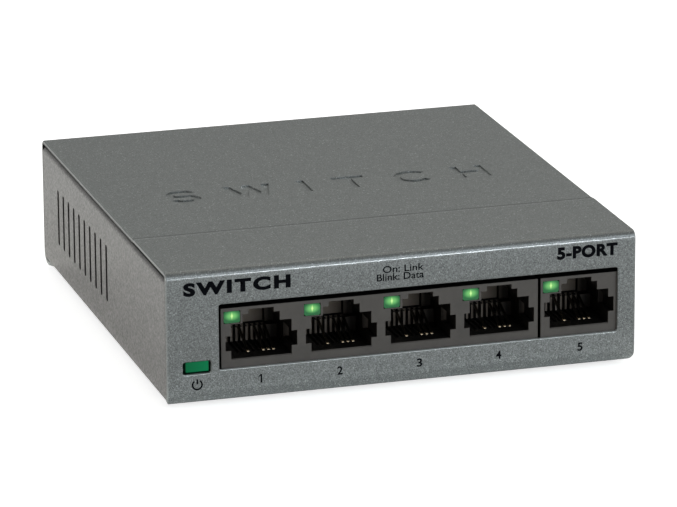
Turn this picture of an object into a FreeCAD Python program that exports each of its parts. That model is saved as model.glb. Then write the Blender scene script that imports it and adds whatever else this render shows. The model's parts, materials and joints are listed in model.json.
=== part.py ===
"""Desktop network switch with five RJ45 ports, in a folded steel case.

Frame: origin at the centre of the footprint on the surface the feet rest on, +X to the right
seen from the port side, +Y to the back, +Z up. Millimetres.
"""

import FreeCAD, Part
import math
import os

V = FreeCAD.Vector

# ---- overall size
WIDTH = 94.0
DEPTH = 101.0
HEIGHT = 27.35
CASE_BOTTOM = 0.75  # underside of the cover's flanges, the lowest metal

HALF_WIDTH = WIDTH / 2
FRONT = -DEPTH / 2
BACK = DEPTH / 2

# ---- sheet metal
SHEET = 0.7
FLANGE_GAP = 0.05  # between the cover's flanges and the tray's floor above them
TOP_BEND = 1.6  # outer radius, cover front and back top edges
BOTTOM_BEND = 2.8  # outer radius, cover front and back bottom edges
SIDE_BEND = 0.8  # outer radius, tray side bends at the floor
TRAY_TOP_BEND = 1.3  # outer radius, tray side bends under the top
TRAY_END_GAP = 0.15  # between the tray and the cover's front and back panels
TRAY_CORNER = 2.3  # lower front and back corners of the tray's sides
EDGE_ROUND = 0.25  # rounded outer edge where the cover sheet ends at the sides
HOLE_ROUND = 0.15  # rounded outer edge of the holes in the front and back panels
TOP_STEP = 0.2  # the top behind the crease is this much lower
CREASE_Y = -25.7
CREASE_RUN = 1.4
COVER_FLANGE = 9.0  # how far the cover turns in under the tray
FRONT_FLANGE_HALF = 45.5
BACK_FLANGE_HALF = 43.3  # at its inner end; it widens to the full width at the back bend
CORNER_CUT = (0.7, 1.6)  # across and up, off each lower corner of the front panel
TRAY_FLANGE = 5.0  # how far the tray sides turn in under the top
TRAY_TOP_GAP = 0.55  # between the tray's top flanges and the cover
TOP_REAR = HEIGHT - TOP_STEP
TRAY_TOP = TOP_REAR - SHEET - TRAY_TOP_GAP
CASE_FLOOR = CASE_BOTTOM + SHEET + FLANGE_GAP  # underside of the tray
TRAY_FLOOR_TOP = CASE_FLOOR + SHEET

# ---- circuit board
BOARD_HALF_WIDTH = 44.2
BOARD_FRONT = -48.8
BOARD_BACK = 48.8
BOARD_BOTTOM = TRAY_FLOOR_TOP + 3.0
BOARD_THICKNESS = 1.6
BOARD_TOP = BOARD_BOTTOM + BOARD_THICKNESS
STANDOFFS = [(-39.5, -12.5), (39.5, -12.5), (-39.5, 34.5), (39.5, 34.5)]
STANDOFF_R = 2.9
SOLDER_TAIL_END = BOARD_BOTTOM - 1.5
TAIL_HOLE_R = 0.4
LEAD_HOLE_R = 0.45

# ---- front openings: left, right, bottom, top
PORT_WINDOW = (-36.7, 43.4, BOARD_TOP + 0.54, BOARD_TOP + 13.57)
PORT_WINDOW_RADIUS = 0.5
POWER_WINDOW = (-43.85, -38.35, BOARD_TOP + 0.15, BOARD_TOP + 2.7)
POWER_WINDOW_RADIUS = 0.4

# ---- side vents
VENT_COUNT = 10
VENT_PITCH = 4.5
VENT_BACK_Y = 36.7  # centre of the rearmost slot
VENT_WIDTH = 1.35
VENT_BOTTOM = BOARD_TOP + 1.3
VENT_TOP = BOARD_TOP + 13.05

# ---- pressed lettering on the top
LETTER_HEIGHT = 8.0
LETTER_STROKE = 1.45
LETTER_ROW_WIDTH = 66.2
LETTER_DEPTH = 0.35

# ---- case screws, M3 flat heads from below, through the cover's flanges into the tray
CASE_SCREWS = [(-41.8, -44.7), (41.8, -44.7), (-28.0, 44.7), (28.0, 44.7)]
SCREW_SHANK_R = 1.45
TAPPED_HOLE_R = 1.5
CLEAR_HOLE_R = 1.6
FLAT_HEAD_R = 2.55
FLAT_HEAD_HEIGHT = 0.6
FLAT_HEAD_SUNK = 0.05  # below the flange's face
SCREW_END = TRAY_FLOOR_TOP + 2.0
COUNTERSINK_R = (2.75, 1.6)  # at the flange's outer and inner face
COLLAR_R = 2.4  # drawn up from the tray's floor round each tapped hole
COLLAR_HEIGHT = 1.2
PAN_HEAD_R = 2.7
PAN_HEAD_HEIGHT = 1.5
BOARD_SCREW_LENGTH = 3.6
CROSS_DEPTH = 0.6
CROSS_WIDTH = 0.7

# ---- feet
FEET = [(-38.0, -35.0), (38.0, -35.0), (-38.0, 35.0), (38.0, 35.0)]
FOOT_R = 5.0
FOOT_EDGE = 0.7

# ---- wall-mount keyholes in the floor
KEYHOLE_SPACING = 60.0
KEYHOLE_Y = 4.0
KEYHOLE_HEAD_R = 3.6
KEYHOLE_SLOT_R = 1.8
KEYHOLE_SLOT_LENGTH = 6.5

# ---- label under the case
LABEL_SIZE = (50.0, 22.0, 0.15)
LABEL_CENTRE = (0.0, -20.0)

# ---- RJ45 jacks
PORT_CENTRES = [-28.15, -12.27, 3.6, 19.475, 35.75]
JACK_FACE = FRONT + 0.8
JACK_DEPTH = 18.0
JACK_BACK = JACK_FACE + JACK_DEPTH
JACK_BOTTOM = BOARD_TOP + 0.05
JACK_TOP = BOARD_TOP + 12.45
BLOCK_LEFT = -36.1
BLOCK_RIGHT = 27.3
SINGLE_LEFT = 27.9
SINGLE_RIGHT = 43.6
CAVITY_BACK = FRONT + 13.5
CAVITY_HALF_WIDTH = 6.0
CAVITY_FLOOR = BOARD_TOP + 2.25
CAVITY_TOP = BOARD_TOP + 9.2
LATCH_STEPS = [(3.68, BOARD_TOP + 10.95), (2.5, BOARD_TOP + 11.9)]  # half width, top
NOTCH_HALF_WIDTH = 7.1
NOTCH_DEPTH = 6.0
NOTCH_HEIGHT = 2.95
NOTCH_BOTTOMS = [BOARD_TOP + 3.9] * 4 + [BOARD_TOP + 4.55]
MOUTH_CHAMFER = 0.2
COMB_FRONT = FRONT + 11.5
COMB_TOP = BOARD_TOP + 5.0
COMB_SLOT_BACK = CAVITY_BACK - 0.25
BACK_SLOT_DEPTH = 1.2  # grooves that frame the middle of the cavity's back wall
BACK_SLOT_X = 3.9
BACK_SLOT_WIDTH = 0.45
BACK_SLOT_HEIGHT = 0.35
CONTACT_PITCH = 1.016
CONTACT_PLACES = 8
COMB_SLOT_HALF = 0.32
WIRE_GROOVE_FLOOR = CAVITY_FLOOR - 0.6
WIRE_GROOVE_FRONT = FRONT + 4.4

# ---- contact wires: pins 1, 2, 3 and 6 of the eight places
WIRE_PLACES = [3.5, 2.5, 1.5, -1.5]  # in pitches from the port centre
WIRE_WIDTH = 0.46
WIRE_THICKNESS = 0.35
WIRE_ROOT = (FRONT + 5.0, CAVITY_FLOOR - 0.12)  # y, z of the place where each wire flexes
WIRE_CREST = (FRONT + 11.65, COMB_TOP - 0.1)
WIRE_TIP = (FRONT + 12.35, COMB_TOP - 0.45)
WIRE_BEND = 0.7
TAIL_TOP = WIRE_ROOT[1] - 0.28
TAIL_Y = WIRE_ROOT[0] - 0.1
TAIL_SLOT = (WIRE_ROOT[0] - 0.6, WIRE_ROOT[0] + 0.3)

# ---- port lights
LED_LEFT = -7.37  # from the port centre
LED_RIGHT = -4.15
LED_BOTTOM = BOARD_TOP + 9.45
LED_TOP = BOARD_TOP + 11.75
LED_FACE = JACK_FACE + 0.05
LED_LENGTH = 8.2
LED_POCKET_GAP = 0.06
LED_EDGE = 0.45
LEAD_SIZE = 0.5
LEAD_SPACING = 1.27
LEAD_BEND = 0.9
LEAD_Z = (LED_BOTTOM + LED_TOP) / 2
LEAD_DROP_Y = JACK_BACK + 0.7

# ---- power light
PIPE_LEFT = -43.35
PIPE_RIGHT = -38.62
PIPE_BOTTOM = BOARD_TOP + 0.58
PIPE_TOP = BOARD_TOP + 2.55
PIPE_CORNER = 0.3
PIPE_FACE = FRONT + 0.45
PIPE_BACK = FRONT + 6.2
PIPE_CENTRE_X = (PIPE_LEFT + PIPE_RIGHT) / 2
PIPE_PEG_R = 0.75
PIPE_PEG_Y = FRONT + 4.0
LIGHT_CHIP_SIZE = (3.0, 1.4, 1.6)
LIGHT_CHIP_Y = PIPE_BACK + 0.2  # its front face

# ---- DC jack, for a 5.5 mm plug with a 2.1 mm bore
DC_X = 24.0
DC_HALF_WIDTH = 4.5
DC_FACE = BACK - 0.9
DC_DEPTH = 14.0
DC_BOTTOM = BOARD_TOP + 0.05
DC_TOP = DC_BOTTOM + 11.0
DC_AXIS_Z = DC_BOTTOM + 6.5
DC_BORE_R = 3.15
DC_BORE_DEPTH = 10.0
DC_PIN_R = 1.0
DC_PIN_TIP = DC_FACE - 2.2
DC_PANEL_HOLE_R = 4.2
LEAF_ROOT = (DC_FACE - 11.0, DC_AXIS_Z - 4.4)
LEAF_CREST = (DC_FACE - 3.6, DC_AXIS_Z - 2.75)
LEAF_TIP = (DC_FACE - 1.6, DC_AXIS_Z - 3.6)
LEAF_WIDTH = 2.4
LEAF_THICKNESS = 0.3
LEAF_BEND = 0.9
LEAF_POCKET_HALF = LEAF_WIDTH / 2 + 0.3
LEAF_POCKET = (LEAF_ROOT[0] - 1.0, DC_FACE - 0.8, DC_AXIS_Z - 5.2, DC_AXIS_Z - 1.0)
LEAF_FOOT_SLOT = (LEAF_ROOT[0] - 0.9, LEAF_ROOT[0], DC_BOTTOM - 1, DC_AXIS_Z - 3.0)
TERMINAL_Y = LEAF_ROOT[0] - 0.45
TERMINAL_THICKNESS = 0.4
PIN_BLADE_BACK = DC_FACE - DC_DEPTH - 0.6
PIN_BLADE_THICKNESS = 0.5
BLADE_HALF_WIDTH = 1.2  # of both terminals
BLADE_SLOT = (1.35, 0.4)  # half sizes of their slots in the board

# ---- main chips: centre x, centre y
SWITCH_CHIP = (0.0, -3.0)
SWITCH_CHIP_SIZE = 14.0
CHIP_LEADS_PER_SIDE = 20
CHIP_LEAD_REACH = 1.0
CHIP_LEAD_THICKNESS = 0.25
CHIP_LIFT = 0.1  # body above the board
CHIP_HEIGHT = 1.5
PAD_HEIGHT = 0.5
HEAT_SINK_SIZE = 19.0
HEAT_SINK_BASE = 1.5
HEAT_SINK_HEIGHT = 7.0
HEAT_SINK_FINS = 6
FIN_THICKNESS = 1.0
TRANSFORMER_Y = -23.8
MEMORY_CHIP = (18.5, -8.0)
REGULATORS = [(8.0, 22.0), (30.0, 22.0)]
CRYSTAL = (-26.5, -15.5, -5.0, -0.4)  # left, right, front, back
# x, y, radius and height of each can
CAPACITORS = [(12.0, 40.0, 4.0, 9.5), (2.5, 40.0, 4.0, 9.5), (38.0, 23.0, 3.15, 7.7)]
CAPACITOR_FOOT = 0.8
INDUCTORS = [(0.0, 22.0), (22.0, 22.0)]
INDUCTOR_HALF = 3.4


# ---- solids from simple outlines

def box(x0, x1, y0, y1, z0, z1):
    return Part.makeBox(x1 - x0, y1 - y0, z1 - z0, V(x0, y0, z0))


def post(x, y, z0, z1, radius):
    """Upright cylinder."""
    return Part.makeCylinder(radius, z1 - z0, V(x, y, z0), V(0, 0, 1))


def rod(x, z, y0, y1, radius):
    """Cylinder lying along Y."""
    return Part.makeCylinder(radius, y1 - y0, V(x, y0, z), V(0, 1, 0))


def fuse(shapes):
    first, rest = shapes[0], shapes[1:]
    if not rest:
        return first
    return first.multiFuse(rest).removeSplitter()


def cut(shape, tools):
    return shape.cut(fuse(tools)).removeSplitter() if tools else shape


def rounded_outline(corners, place):
    """Closed wire through (a, b, radius) corners; place(a, b) puts a point in space."""
    count = len(corners)
    joins = []
    for i, (a, b, radius) in enumerate(corners):
        before, after = corners[i - 1], corners[(i + 1) % count]
        to_before = V(before[0] - a, before[1] - b, 0)
        to_after = V(after[0] - a, after[1] - b, 0)
        to_before.normalize()
        to_after.normalize()
        corner = V(a, b, 0)
        if radius <= 0:
            joins.append((corner, None, corner))
            continue
        half = to_before.getAngle(to_after) / 2
        reach = radius / math.tan(half)
        inward = to_before + to_after
        inward.normalize()
        middle = corner + inward * (radius / math.sin(half) - radius)
        joins.append((corner + to_before * reach, middle, corner + to_after * reach))
    edges = []
    for i, (start, middle, end) in enumerate(joins):
        if middle is not None:
            edges.append(Part.Arc(place(start), place(middle), place(end)).toShape())
        following = joins[(i + 1) % count][0]
        if end.distanceToPoint(following) > 1e-6:
            edges.append(Part.makeLine(place(end), place(following)))
    return Part.Wire(edges)


def prism_x(corners, x0, x1):
    """Solid with a (y, z, radius) outline, from x0 to x1."""
    wire = rounded_outline(corners, lambda p: V(x0, p.x, p.y))
    return Part.Face(wire).extrude(V(x1 - x0, 0, 0))


def prism_y(corners, y0, y1):
    """Solid with an (x, z, radius) outline, from y0 to y1."""
    wire = rounded_outline(corners, lambda p: V(p.x, y0, p.y))
    return Part.Face(wire).extrude(V(0, y1 - y0, 0))


def prism_z(corners, z0, z1):
    """Solid with an (x, y, radius) outline, from z0 to z1."""
    wire = rounded_outline(corners, lambda p: V(p.x, p.y, z0))
    return Part.Face(wire).extrude(V(0, 0, z1 - z0))


def rectangle(a0, a1, b0, b1, radius=0.0):
    return [(a0, b0, radius), (a1, b0, radius), (a1, b1, radius), (a0, b1, radius)]


def strip(path, bends, thickness):
    """Outline of a folded sheet: its outer face follows path, and its material lies to the
    left. bends are the outer radii at the inner points of the path; a negative one marks a
    fold where the path is the inside of the bend."""
    normals = []
    for (a0, b0), (a1, b1) in zip(path, path[1:]):
        length = math.hypot(a1 - a0, b1 - b0)
        normals.append(((b0 - b1) / length, (a1 - a0) / length))
    near = []
    far = []
    for i, (a, b) in enumerate(path):
        first, last = i == 0, i == len(path) - 1
        n0 = normals[max(i - 1, 0)]
        n1 = normals[min(i, len(normals) - 1)]
        scale = thickness / (1 + n0[0] * n1[0] + n0[1] * n1[1])
        radius = 0.0 if first or last else bends[i - 1]
        other = max(radius - thickness, 0.0) if radius >= 0 else -radius
        near.append((a, b, radius if radius >= 0 else max(-radius - thickness, 0.0)))
        far.append((a + (n0[0] + n1[0]) * scale, b + (n0[1] + n1[1]) * scale, other))
    return near + far[::-1]


# ---- case

COVER_SKIN = [  # y, z and bend of the cover's outer face, from flange to flange
    (FRONT + COVER_FLANGE, CASE_BOTTOM, 0.0),
    (FRONT, CASE_BOTTOM, BOTTOM_BEND),
    (FRONT, HEIGHT, TOP_BEND),
    (CREASE_Y - CREASE_RUN / 2, HEIGHT, 0.0),
    (CREASE_Y + CREASE_RUN / 2, TOP_REAR, 0.0),
    (BACK, TOP_REAR, TOP_BEND),
    (BACK, CASE_BOTTOM, BOTTOM_BEND),
    (BACK - COVER_FLANGE, CASE_BOTTOM, 0.0),
]


def cover_outline():
    """Front, top and back of the cover in one folded strip, seen from the side."""
    mirrored = [(-y, z) for y, z, _ in COVER_SKIN]  # puts the material inside the folds
    bends = [bend for _, _, bend in COVER_SKIN[1:-1]]
    outline = strip(mirrored, bends, SHEET)
    return [(-y, z, radius) for y, z, radius in outline]


def corner_cut(side):
    """Wedge that takes a lower corner off the front panel."""
    x, (across, up) = side * HALF_WIDTH, CORNER_CUT
    corners = [(x, CASE_BOTTOM, 0), (x - side * across, CASE_BOTTOM, 0), (x, CASE_BOTTOM + up, 0)]
    return prism_y(corners, FRONT - 1, FRONT + BOTTOM_BEND)


def flange_trims(side):
    """What is cut from the ends of the two flanges on one side."""
    low, high, outside = CASE_BOTTOM - 1, CASE_FLOOR, side * (HALF_WIDTH + 1)
    x0, x1 = sorted((side * FRONT_FLANGE_HALF, outside))
    front = box(x0, x1, FRONT + BOTTOM_BEND, FRONT + COVER_FLANGE + 1, low, high)
    bend_line, inner_end = BACK - BOTTOM_BEND, BACK - COVER_FLANGE - 1
    back = prism_z(
        [
            (outside, bend_line, 0),
            (side * HALF_WIDTH, bend_line, 0),
            (side * BACK_FLANGE_HALF, inner_end, 0),
            (outside, inner_end, 0),
        ],
        low,
        high,
    )
    return [front, back]


def edge_middle(edge):
    return edge.valueAt((edge.FirstParameter + edge.LastParameter) / 2)


def outer_side_edges(cover):
    """Edges where the outer skin of the folded cover ends at its left and right sides."""
    skins = [rounded_outline(COVER_SKIN, lambda p: V(x, p.x, p.y)) for x in (-HALF_WIDTH, HALF_WIDTH)]
    edges = []
    for edge in cover.Edges:
        middle = Part.Vertex(edge_middle(edge))
        on_skin = any(skin.distToShape(middle)[0] < 0.001 for skin in skins)
        inside_flange = abs(middle.Y) < BACK - COVER_FLANGE + 0.001 and middle.Z < CASE_FLOOR
        if on_skin and not inside_flange:
            edges.append(edge)
    return edges


def hole_edges(cover):
    """Outer edges of the holes through the front and back panels."""
    edges = []
    for edge in cover.Edges:
        middle = edge_middle(edge)
        outside = all(abs(abs(v.Point.y) - BACK) < 1e-6 for v in edge.Vertexes)
        within = abs(middle.x) < HALF_WIDTH - 1.5 and BOARD_TOP < middle.z < TOP_REAR - 3
        if outside and within:
            edges.append(edge)
    return edges


def countersink(x, y):
    outer, inner = COUNTERSINK_R
    return Part.makeCone(outer, inner, SHEET, V(x, y, CASE_BOTTOM), V(0, 0, 1))


def top_cover():
    cover = prism_x(cover_outline(), -HALF_WIDTH, HALF_WIDTH)
    cover = cover.makeFillet(EDGE_ROUND, outer_side_edges(cover))
    tools = []
    for side in (-1, 1):
        tools.extend(flange_trims(side))
        tools.append(corner_cut(side))
    tools.append(prism_y(rectangle(*PORT_WINDOW, PORT_WINDOW_RADIUS), FRONT - 1, JACK_FACE))
    tools.append(prism_y(rectangle(*POWER_WINDOW, POWER_WINDOW_RADIUS), FRONT - 1, JACK_FACE))
    tools.append(rod(DC_X, DC_AXIS_Z, BACK - 1, BACK + 1, DC_PANEL_HOLE_R))
    tools.extend(countersink(x, y) for x, y in CASE_SCREWS)
    cover = cut(cover, tools)
    cover = cover.makeFillet(HOLE_ROUND, hole_edges(cover))
    return cut(cover, letter_solids())


def vent(side, y):
    corners = rectangle(y - VENT_WIDTH / 2, y + VENT_WIDTH / 2, VENT_BOTTOM, VENT_TOP)
    radius = VENT_WIDTH / 2 - 0.001
    rounded = [(a, b, radius) for a, b, _ in corners]
    x0, x1 = sorted((side * (HALF_WIDTH - SHEET - 1), side * (HALF_WIDTH + 1)))
    return prism_x(rounded, x0, x1)


def screw_collar(x, y):
    """Collar drawn up from the tray's floor, before it is tapped."""
    return post(x, y, TRAY_FLOOR_TOP, TRAY_FLOOR_TOP + COLLAR_HEIGHT, COLLAR_R)


def keyhole(x):
    """Round hole for a wall screw's head, with a slot that its shank slides into."""
    low, high = CASE_FLOOR - 1, TRAY_FLOOR_TOP + 1
    end_y = KEYHOLE_Y + KEYHOLE_SLOT_LENGTH
    return [
        post(x, KEYHOLE_Y, low, high, KEYHOLE_HEAD_R),
        box(x - KEYHOLE_SLOT_R, x + KEYHOLE_SLOT_R, KEYHOLE_Y, end_y, low, high),
        post(x, end_y, low, high, KEYHOLE_SLOT_R),
    ]


def base_tray():
    """Floor and the two vented sides, folded from one sheet."""
    path = [
        (HALF_WIDTH - TRAY_FLANGE, TRAY_TOP),
        (HALF_WIDTH, TRAY_TOP),
        (HALF_WIDTH, CASE_FLOOR),
        (-HALF_WIDTH, CASE_FLOOR),
        (-HALF_WIDTH, TRAY_TOP),
        (-HALF_WIDTH + TRAY_FLANGE, TRAY_TOP),
    ]
    bends = [TRAY_TOP_BEND, SIDE_BEND, SIDE_BEND, TRAY_TOP_BEND]
    mirrored = [(-x, z) for x, z in path]  # puts the material inside the folds
    outline = [(-x, z, radius) for x, z, radius in strip(mirrored, bends, SHEET)]
    front, back = FRONT + SHEET + TRAY_END_GAP, BACK - SHEET - TRAY_END_GAP
    top_corner = TOP_BEND - SHEET + 0.2  # clears the inside of the cover's top bends
    side_view = [
        (front, CASE_FLOOR, TRAY_CORNER),
        (back, CASE_FLOOR, TRAY_CORNER),
        (back, TRAY_TOP, top_corner),
        (front, TRAY_TOP, top_corner),
    ]
    tray = prism_y(outline, front, back).common(prism_x(side_view, -HALF_WIDTH, HALF_WIDTH))
    tray = fuse([tray] + [screw_collar(x, y) for x, y in CASE_SCREWS])
    collar_top = TRAY_FLOOR_TOP + COLLAR_HEIGHT
    tools = [post(x, y, CASE_FLOOR - 1, collar_top + 1, TAPPED_HOLE_R) for x, y in CASE_SCREWS]
    for side in (-1, 1):
        for i in range(VENT_COUNT):
            tools.append(vent(side, VENT_BACK_Y - i * VENT_PITCH))
        tools.extend(keyhole(side * KEYHOLE_SPACING / 2))
    return cut(tray, tools)


# ---- lettering: each letter is a list of solids in its own (0, 0) corner frame

def letter_bar(x0, x1, y0, y1):
    return box(x0, x1, y0, y1, 0, 1)


def letter_slant(x_top, x_bottom, width):
    """Leaning stroke from top to bottom, with level ends of the stated width."""
    corners = [
        (x_top, LETTER_HEIGHT, 0),
        (x_bottom, 0, 0),
        (x_bottom + width, 0, 0),
        (x_top + width, LETTER_HEIGHT, 0),
    ]
    return prism_z(corners, 0, 1)


def letter_arc(x, y, radius, start, sweep):
    """Part of a ring of stroke width, from start degrees through sweep degrees."""
    axis = V(0, 0, 1)
    outer = Part.makeCylinder(radius, 1, V(x, y, 0), axis, sweep)
    inner = Part.makeCylinder(radius - LETTER_STROKE, 1, V(x, y, 0), axis)
    piece = outer.cut(inner)
    piece.rotate(V(x, y, 0), axis, start)
    return piece


def letter_s():
    width, stroke, height = 6.2, LETTER_STROKE, LETTER_HEIGHT
    radius = (height + stroke) / 4
    right = width - radius
    return width, [
        letter_bar(radius, right, height - stroke, height),
        letter_bar(radius, right, 2 * radius - stroke, 2 * radius),
        letter_bar(radius, right, 0, stroke),
        letter_arc(radius, height - radius, radius, 90, 180),
        letter_arc(right, radius, radius, 270, 180),
        letter_arc(right, height - radius, radius, 15, 75),
        letter_arc(radius, radius, radius, 195, 75),
    ]


def letter_w():
    width, level = 9.8, LETTER_STROKE * 1.1
    quarter = (width - level) / 4
    tops = [0, 2 * quarter, 2 * quarter, 4 * quarter]
    feet = [quarter, quarter, 3 * quarter, 3 * quarter]
    return width, [letter_slant(top, foot, level) for top, foot in zip(tops, feet)]


def letter_i():
    return LETTER_STROKE, [letter_bar(0, LETTER_STROKE, 0, LETTER_HEIGHT)]


def letter_t():
    width, stroke, height = 6.6, LETTER_STROKE, LETTER_HEIGHT
    middle = width / 2
    return width, [
        letter_bar(0, width, height - stroke, height),
        letter_bar(middle - stroke / 2, middle + stroke / 2, 0, height),
    ]


def letter_c():
    radius = LETTER_HEIGHT / 2
    return 7.1, [letter_arc(radius, radius, radius, 42, 276)]


def letter_h():
    width, stroke, height = 6.6, LETTER_STROKE, LETTER_HEIGHT
    return width, [
        letter_bar(0, stroke, 0, height),
        letter_bar(width - stroke, width, 0, height),
        letter_bar(0, width, (height - stroke) / 2, (height + stroke) / 2),
    ]


def letter_solids():
    """Tools that press the word SWITCH into the top, spread evenly over the row."""
    letters = [letter_s(), letter_w(), letter_i(), letter_t(), letter_c(), letter_h()]
    gap = (LETTER_ROW_WIDTH - sum(width for width, _ in letters)) / (len(letters) - 1)
    x = -LETTER_ROW_WIDTH / 2
    tools = []
    for width, pieces in letters:
        letter = fuse(pieces)
        letter.translate(V(x, -LETTER_HEIGHT / 2, TOP_REAR - LETTER_DEPTH))
        tools.append(letter)
        x += width + gap
    return tools


# ---- fasteners, feet and label

def cross_recess(x, y, z0, z1, reach):
    half = CROSS_WIDTH / 2
    return fuse([
        box(x - half, x + half, y - reach, y + reach, z0, z1),
        box(x - reach, x + reach, y - half, y + half, z0, z1),
    ])


def outer_rim(shape, z):
    """The round edge of an upright cylinder at height z."""
    for edge in shape.Edges:
        level = all(abs(vertex.Point.z - z) < 1e-6 for vertex in edge.Vertexes)
        if level and isinstance(edge.Curve, Part.Circle):
            return edge
    raise ValueError("no rim at that height")


def case_screw(x, y):
    """Countersunk screw driven up from below."""
    face = CASE_BOTTOM + FLAT_HEAD_SUNK
    up = V(0, 0, 1)
    head = Part.makeCone(FLAT_HEAD_R, SCREW_SHANK_R, FLAT_HEAD_HEIGHT, V(x, y, face), up)
    shank = post(x, y, face, SCREW_END, SCREW_SHANK_R)
    return fuse([head, shank]).cut(cross_recess(x, y, face, face + CROSS_DEPTH, FLAT_HEAD_R * 0.6))


def case_screws():
    return Part.makeCompound([case_screw(x, y) for x, y in CASE_SCREWS])


def board_screw(x, y):
    """Pan-head screw driven down into a standoff."""
    top = BOARD_TOP + PAN_HEAD_HEIGHT
    head = post(x, y, BOARD_TOP, top, PAN_HEAD_R)
    head = head.makeFillet(PAN_HEAD_HEIGHT * 0.55, [outer_rim(head, top)])
    shank = post(x, y, BOARD_TOP - BOARD_SCREW_LENGTH, BOARD_TOP, SCREW_SHANK_R)
    return fuse([head, shank]).cut(cross_recess(x, y, top - CROSS_DEPTH, top, PAN_HEAD_R * 0.6))


def board_screws():
    return Part.makeCompound([board_screw(x, y) for x, y in STANDOFFS])


def board_standoffs():
    solids = []
    for x, y in STANDOFFS:
        post_solid = post(x, y, TRAY_FLOOR_TOP, BOARD_BOTTOM, STANDOFF_R)
        solids.append(post_solid.cut(post(x, y, TRAY_FLOOR_TOP, HEIGHT, TAPPED_HOLE_R)))
    return Part.makeCompound(solids)


def bottom_rounded(solid, radius):
    """Rounds the edges of a foot that lie on the resting plane."""
    edges = [e for e in solid.Edges if all(abs(v.Point.z) < 1e-6 for v in e.Vertexes)]
    return solid.makeFillet(radius, edges)


def rubber_feet():
    pads = [post(x, y, 0, CASE_FLOOR, FOOT_R) for x, y in FEET]
    return Part.makeCompound([bottom_rounded(pad, FOOT_EDGE) for pad in pads])


def bottom_label():
    width, depth, thickness = LABEL_SIZE
    x, y = LABEL_CENTRE
    corners = rectangle(x - width / 2, x + width / 2, y - depth / 2, y + depth / 2, 1.5)
    return prism_z(corners, CASE_FLOOR - thickness, CASE_FLOOR)


# ---- RJ45 jacks

def jack_cavity(centre, notch_bottom):
    """Everything that is cut from a jack body for one port."""
    left, right = centre - CAVITY_HALF_WIDTH, centre + CAVITY_HALF_WIDTH
    tools = [box(left, right, JACK_FACE - 1, CAVITY_BACK, CAVITY_FLOOR, CAVITY_TOP)]
    mouth = [
        (JACK_FACE - 1, CAVITY_FLOOR - MOUTH_CHAMFER - 1, 0),
        (JACK_FACE + MOUTH_CHAMFER, CAVITY_FLOOR, 0),
        (JACK_FACE + MOUTH_CHAMFER, CAVITY_FLOOR + 1, 0),
        (JACK_FACE - 1, CAVITY_FLOOR + 1, 0),
    ]
    tools.append(prism_x(mouth, left, right))
    for half, top in LATCH_STEPS:
        tools.append(box(centre - half, centre + half, JACK_FACE - 1, CAVITY_BACK, CAVITY_TOP - 1, top))
    tools.append(
        box(
            centre - NOTCH_HALF_WIDTH,
            centre + NOTCH_HALF_WIDTH,
            JACK_FACE - 1,
            JACK_FACE + NOTCH_DEPTH,
            notch_bottom,
            notch_bottom + NOTCH_HEIGHT,
        )
    )
    return tools


def led_pocket(centre):
    gap = LED_POCKET_GAP
    return box(
        centre + LED_LEFT - gap,
        centre + LED_RIGHT + gap,
        JACK_FACE - 1,
        JACK_BACK + 1,
        LED_BOTTOM - gap,
        LED_TOP + gap,
    )


def comb(centre):
    """Ledge across the back of the cavity that the contact tips lie in, with eight slots."""
    left, right = centre - CAVITY_HALF_WIDTH, centre + CAVITY_HALF_WIDTH
    return box(left, right, COMB_FRONT, CAVITY_BACK, CAVITY_FLOOR, COMB_TOP)


def back_wall_grooves(centre):
    """Two upright grooves and a level one, which frame a panel above the comb."""
    y0, y1 = CAVITY_BACK - 0.1, CAVITY_BACK + BACK_SLOT_DEPTH
    half = BACK_SLOT_WIDTH / 2
    tools = [box(centre - BACK_SLOT_X, centre + BACK_SLOT_X, y0, y1, COMB_TOP, COMB_TOP + BACK_SLOT_HEIGHT)]
    for side in (-1, 1):
        x = centre + side * BACK_SLOT_X
        tools.append(box(x - half, x + half, y0, y1, COMB_TOP, CAVITY_TOP))
    return tools


def wire_slots(centre):
    """Comb slots and floor grooves for the eight contact places, and the holes for the tails."""
    tools = []
    for i in range(CONTACT_PLACES):
        x = centre + (i - (CONTACT_PLACES - 1) / 2) * CONTACT_PITCH
        low, high = x - COMB_SLOT_HALF, x + COMB_SLOT_HALF
        groove_top = CAVITY_FLOOR + 0.01
        tools.append(box(low, high, WIRE_GROOVE_FRONT, COMB_SLOT_BACK, WIRE_GROOVE_FLOOR, groove_top))
        tools.append(box(low, high, COMB_FRONT - 1, COMB_SLOT_BACK, WIRE_GROOVE_FLOOR, COMB_TOP + 1))
    for x in wire_centres(centre):
        low, high = x - COMB_SLOT_HALF, x + COMB_SLOT_HALF
        tools.append(box(low, high, *TAIL_SLOT, JACK_BOTTOM - 1, CAVITY_FLOOR))
    return tools


def jack_body(left, right, ports):
    """Moulded body with a cavity for each (centre, notch bottom) in ports."""
    body = box(left, right, JACK_FACE, JACK_BACK, JACK_BOTTOM, JACK_TOP)
    tools = []
    for centre, notch_bottom in ports:
        tools.extend(jack_cavity(centre, notch_bottom))
        tools.append(led_pocket(centre))
    body = cut(body, tools)
    body = fuse([body] + [comb(centre) for centre, _ in ports])
    slots = []
    for centre, _ in ports:
        slots.extend(wire_slots(centre))
        slots.extend(back_wall_grooves(centre))
    return cut(body, slots)


def wire_centres(centre):
    return [centre + place * CONTACT_PITCH for place in WIRE_PLACES]


def wire_outline():
    """Side view of one contact wire, which rises from its root and dips at the tip."""
    path = [WIRE_ROOT, WIRE_CREST, WIRE_TIP]
    shifted = [(y, z - WIRE_THICKNESS / 2) for y, z in path]
    return strip(shifted, [-WIRE_BEND], WIRE_THICKNESS)


def contacts(centre):
    half = WIRE_WIDTH / 2
    side_view = wire_outline()
    return Part.makeCompound([prism_x(side_view, x - half, x + half) for x in wire_centres(centre)])


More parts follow.
